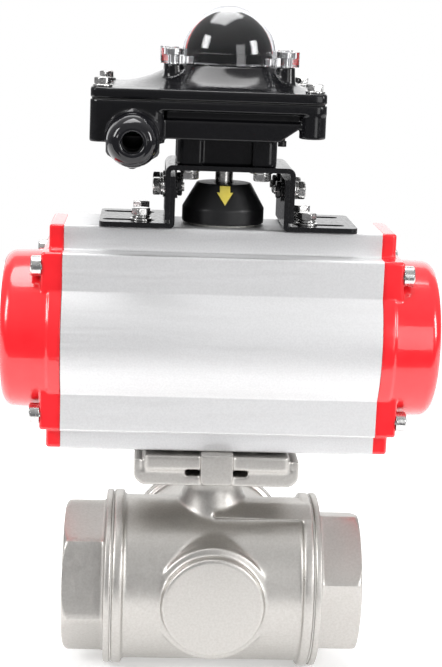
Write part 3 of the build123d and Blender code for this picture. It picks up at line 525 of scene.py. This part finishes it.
def washer(shape, place, inner, outer, low, high):
    edge = min(0.18, (high - low) / 4)
    below = [(inner, low + edge), (inner + edge, low), (outer - edge, low), (outer, low + edge)]
    above = [(outer, high - edge), (outer - edge, high), (inner + edge, high), (inner, high - edge)]
    shape.lathe(place, below + above, closed=True)


def fastener_place(box, axis):
    """Origin on the solid's middle line at coordinate 0 of the axis, with local Z along it."""
    middle = (box[0] + box[1]) / 2
    if axis == "X":
        return Matrix.Translation((0, middle.y, middle.z)) @ Matrix.Rotation(math.pi / 2, 4, "Y")
    return Matrix.Translation((middle.x, middle.y, 0))


def hex_fasteners(node, axis, size, head_end, turn_deg):
    """Rebuild every bolt, washer and spring washer of a node where its CAD solid is."""
    across_flats, shank_r, pitch, head_len = size
    longest_washer, narrowest_flat_washer, turn_step = 5, across_flats / 2 * 1.18, 17
    shape = Shape()
    k = "XYZ".index(axis)
    for number, box in enumerate(solids_of(node)):
        place = fastener_place(box, axis)
        low, high = box[0][k], box[1][k]
        radius = min(box[1][m] - box[0][m] for m in range(3) if m != k) / 2
        turn = turn_deg + turn_step * number
        head_is_high = head_end == "high" or head_end == "outer" and box[0].x > 0
        if high - low > longest_washer and head_is_high:
            hex_head(shape, place, across_flats, high - head_len, high, turn)
            threaded(shape, place, shank_r, low, high - head_len + 0.1, pitch)
        elif high - low > longest_washer:
            flip = place @ Matrix.Rotation(math.pi, 4, "X")
            hex_head(shape, flip, across_flats, -low - head_len, -low, turn)
            threaded(shape, flip, shank_r, -high, -low - head_len + 0.1, pitch)
        elif radius > narrowest_flat_washer:
            washer(shape, place, shank_r + 0.15, radius, low, high)
        else:
            shape.coil(place, shank_r + 0.2, radius, low, high, 0.22 * (high - low))
    piece = new_object(node + "_detailed", shape.mesh(node))
    stand_for(piece, node, 30)


def serrated(radius, teeth=20, depth=0.09):
    return lambda angle: radius * (1.0 - depth * (math.sin(teeth * angle) > 0))


def toothed_nuts():
    """Flange nuts with a serrated skirt, on the outer end of each nut on the bracket's legs."""
    skirt_len, bore_r, across_flats = 1.2, 2.6, 8.0
    shape = Shape()
    for number, box in enumerate(solids_of("leg_nuts")):
        place = fastener_place(box, "X")
        low, high = box[0].x, box[1].x
        tooth = serrated(min(box[1].y - box[0].y, box[1].z - box[0].z) / 2)
        if low > 0:
            skirt, body = (high - skirt_len, high), (low, high - skirt_len)
        else:
            skirt, body = (low, low + skirt_len), (low + skirt_len, high)
        shape.lathe(place, [(bore_r, skirt[0]), (tooth, skirt[0]), (tooth, skirt[1]), (bore_r, skirt[1])],
                    steps=120, closed=True)
        hex_head(shape, place, across_flats, body[0], body[1], 11 + 23 * number)
    piece = new_object("leg_nuts_detailed", shape.mesh("leg_nuts"))
    stand_for(piece, "leg_nuts", 30)


# ---- valve ----
def near_joins(p):
    """Weight of a casting's point: full at the roots of the neck, the rib and the front boss."""
    neck_low, neck_high, neck_r, neck_fade = 75, 97, 34, 8
    boss_y, boss_inner_r, boss_outer_r, boss_most = -27, 23.5, 37, 0.35
    around = math.hypot(p.x, p.y)
    weight = 0.0
    if neck_low < p.z < neck_high and around < neck_r:
        weight = min(1.0, (neck_r - around) / neck_fade)
    across = math.hypot(p.x, p.z - AXIS_Z)
    if p.y < boss_y and boss_inner_r < across < boss_outer_r:
        edge = min((boss_outer_r - across) / 5, (across - boss_inner_r) / 1.5)
        weight = max(weight, min(boss_most, edge))
    return weight


def valve_body():
    """The casting, with a root fillet added round its front boss before it is rebuilt."""
    inner_r, start = 28.7, 26.0
    profile = [(inner_r, start), (32.4, start), (31.2, 28.6), (30.2, 31.4), (29.4, 34.6), (inner_r, 36.0)]
    root = Shape()
    towards = Matrix.Translation((0, 0, AXIS_Z)) @ Matrix.Rotation(math.pi / 2, 4, "X")
    root.lathe(towards, profile, steps=120, closed=True)
    work = bmesh.new()
    work.from_mesh(nodes["valve_body"].data)
    work.from_mesh(root.mesh("root"))
    mesh = bpy.data.meshes.new("valve_body_rough")
    work.to_mesh(mesh)
    work.free()
    moulded("valve_body_cast", "valve_body", mesh, 0.7, 5, 0.35, near_joins, 26)


def quarter(k, steps):
    """Cosine and sine of the k-th of some equal steps through a quarter turn."""
    angle = math.pi / 2 * k / steps
    return math.cos(angle), math.sin(angle)


def port_cap(node, away, turn):
    """A cast hexagon with rounded corners, a machined face and an internal pipe thread."""
    low, high = (Vector(c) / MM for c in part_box(node))
    axis_height = Matrix.Translation((0, 0, (low.z + high.z) / 2))
    place = axis_height @ Vector(away).to_track_quat("Z", "Y").to_matrix().to_4x4()
    pitch, crest, depth = 2.309, 28.33, 1.45                 # the 2 inch parallel pipe thread
    thread_start, thread_len, thread_rings = 51.0, 21.6, 62
    waterway_r, hex_r, hex_low, face_r, face_edge, end = 20.0, 38.5, 55.6, 33.2, 3.2, 74.5
    plan = hexagon(67.0, turn)

    def rounded(limit):
        return lambda angle: (plan(angle) ** -60 + limit ** -60) ** (-1 / 60)

    def thread(z):
        fade = min(1.0, (z - thread_start) / pitch)
        return lambda angle: crest + depth * fade * (0.5 - 0.5 * math.cos(math.tau * z / pitch + angle))

    def flared(cosine):
        return lambda angle: rounded(hex_r)(angle) + 1.6 * (1 - cosine)
    rings = [(waterway_r, 32.6), (waterway_r, 41.0), (waterway_r, 50.0), (20.5, 50.5), (27.9, 50.5)]
    rings += [(crest, thread_start)]
    heights = [thread_start + thread_len * k / thread_rings for k in range(1, thread_rings + 1)]
    rings += [(thread(z), z) for z in heights]
    rings += [(30.2, 73.9), (30.7, 74.4), (31.2, end), (face_r, end)]
    for k in range(1, 7):
        c, s = quarter(k, 6)
        rings.append((rounded(face_r + 5.2 * s), end - face_edge * (1 - c)))
    rings += [(rounded(hex_r), z) for z in (66.0, 60.0, hex_low)]
    for k in range(1, 5):
        c, s = quarter(k, 4)
        rings.append((flared(c), hex_low - 1.9 * s))
    flange = [(42.8, 53.6), (43.5, 53.4), (43.9, 52.9), (44.0, 52.3), (44.0, 51.0)]
    flange += [(43.7, 50.5), (43.3, 50.32)]
    spigot = [(35.9, 50.32), (35.9, 36.2), (34.1, 36.1), (34.1, 34.7), (30.4, 34.6), (30.4, 30.5)]
    seat = [(28.6, 30.5), (28.6, 32.5), (20.3, 32.5)]
    shape = Shape()
    shape.lathe(place, rings + flange + spigot + seat, steps=144, closed=True)
    piece = new_object(node + "_detailed", shape.mesh(node))
    stand_for(piece, node, 28)


# ---- switch box lid ----
def switch_lid():
    """One flowing surface from the dome's flange out to the rectangular rim, with posts and screw pads."""
    low, high = (Vector(c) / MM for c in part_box("switch_lid"))
    seat_r, edge_z, top_z, wall = 26.2, 293.4, high.z - 0.1, 3.2
    roof_z, ceiling_z, roof_thick = 300.2, 304.0, 2.6

    def rim(angle, inset=0.0, power=26):
        """Distance from the shaft to the rim in a direction, with the corners rounded."""
        c, s = math.cos(angle), math.sin(angle)
        reach_x = ((high.x if c > 0 else -low.x) - inset) / max(abs(c), 1e-6)
        reach_y = (high.y - inset) / max(abs(s), 1e-6)
        return (reach_x ** -power + reach_y ** -power) ** (-1 / power)

    def out(share, inset=0.0):
        power = 3.2 + 22.8 * share ** 5
        return lambda angle: seat_r + (rim(angle, inset, power) - seat_r) * share

    def flare(share):
        return edge_z + (top_z - 0.7 - edge_z) * (1 - share) ** 2.3
    shares = [k / 22 for k in range(23)]
    rings = [(6.0, roof_z), (6.0, top_z), (15.0, top_z), (24.6, top_z)]
    rings += [(25.3, top_z - 0.2), (25.8, top_z - 0.5)]
    rings += [(out(s * 0.985), flare(s)) for s in shares]
    rings += [(out(1.0, 0.25), edge_z - 0.15), (out(1.0), edge_z - 0.6), (out(1.0), 291.0), (out(1.0), 288.9),
              (out(1.0, 0.25), low.z)]
    rings += [(out(1.0, wall), low.z)]
    rings += [(out(s, wall), min(flare(s), ceiling_z) - roof_thick) for s in reversed(shares) if s > 0.02]
    rings += [(20.0, 300.4), (12.0, roof_z)]
    shape = Shape()
    shape.lathe(Matrix.Identity(4), rings, steps=160, closed=True)
    screw_pad = [(5.3, low.z), (5.4, edge_z), (5.2, edge_z + 0.4), (2.0, edge_z + 0.4)]
    dome_post = [(2.0, 296.0), (5.0, 296.0), (4.5, 300.0), (4.3, top_z - 0.3), (4.0, top_z)]
    for xs, reach, profile in (((-59.0, 39.0), 36.6, screw_pad), ((-26.5, 26.5), 18.0, dome_post)):
        for x in xs:
            for y in (-reach, reach):
                shape.lathe(Matrix.Translation((x, y, 0)), profile)
    moulded("switch_lid_moulded", "switch_lid", shape.mesh("lid"), 0.6, 4, 0.5)


def gland_nut():
    """A domed cap nut with six shallow grip flats and a rolled lip round the cable's mouth."""
    low, high = (Vector(c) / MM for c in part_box("gland_nut"))
    middle = (low + high) / 2
    start, tip, cable_r, thread_r, dome_z = 6.4, 26.6, 4.7, 8.7, 14.4
    place = Matrix.Translation((middle.x, high.y + start, middle.z)) @ Matrix.Rotation(math.pi / 2, 4, "X")
    grip = hexagon(23.1, 0, 12.0)
    rings = [(thread_r, start), (11.2, start), (grip, 7.0), (grip, 14.0)]
    for k in range(12):
        c, s = quarter(k, 12)
        rings.append((7.3 + 4.7 * c, dome_z + 11.5 * s))
    rings += [(7.0, 26.2), (6.5, 26.55), (5.9, tip), (5.3, 26.4), (4.9, 25.9)]
    rings += [(cable_r, 25.2), (cable_r, 24.0), (thread_r, 19.5)]
    shape = Shape()
    shape.lathe(place, rings, steps=96, closed=True)
    piece = new_object("gland_nut_domed", shape.mesh("gland_nut"))
    stand_for(piece, "gland_nut", 45)


def moulded_copy(node, ending, voxel_mm, rounds, keep):
    moulded(node + ending, node, nodes[node].data.copy(), voxel_mm, rounds, keep)


def make_pieces():
    valve_body()
    port_cap("left_port_cap", (-1, 0, 0), 15.0)
    port_cap("right_port_cap", (1, 0, 0), 15.0)
    port_cap("rear_port_cap", (0, 1, 0), 0.0)
    moulded_copy("left_end_cap", "_cast", 0.45, 7, 0.18)
    moulded_copy("right_end_cap", "_cast", 0.45, 7, 0.18)
    moulded_copy("switch_base", "_moulded", 0.6, 3, 0.5)
    switch_lid()
    gland_nut()
    moulded_copy("indicator_puck", "_moulded", 0.4, 3, 0.5)
    hex_fasteners("foot_bolts", "Z", M5_BOLT, "high", 8)
    hex_fasteners("lid_screws", "Z", M4_SCREW, "high", 0)
    hex_fasteners("box_bolts", "Z", M5_BOLT, "low", 12)
    hex_fasteners("leg_bolts", "X", M5_BOLT, "outer", 0)
    toothed_nuts()


make_camera()
make_stage()
make_world()
make_lights()
paints = make_paints()
paint_nodes(paints)
make_pieces()
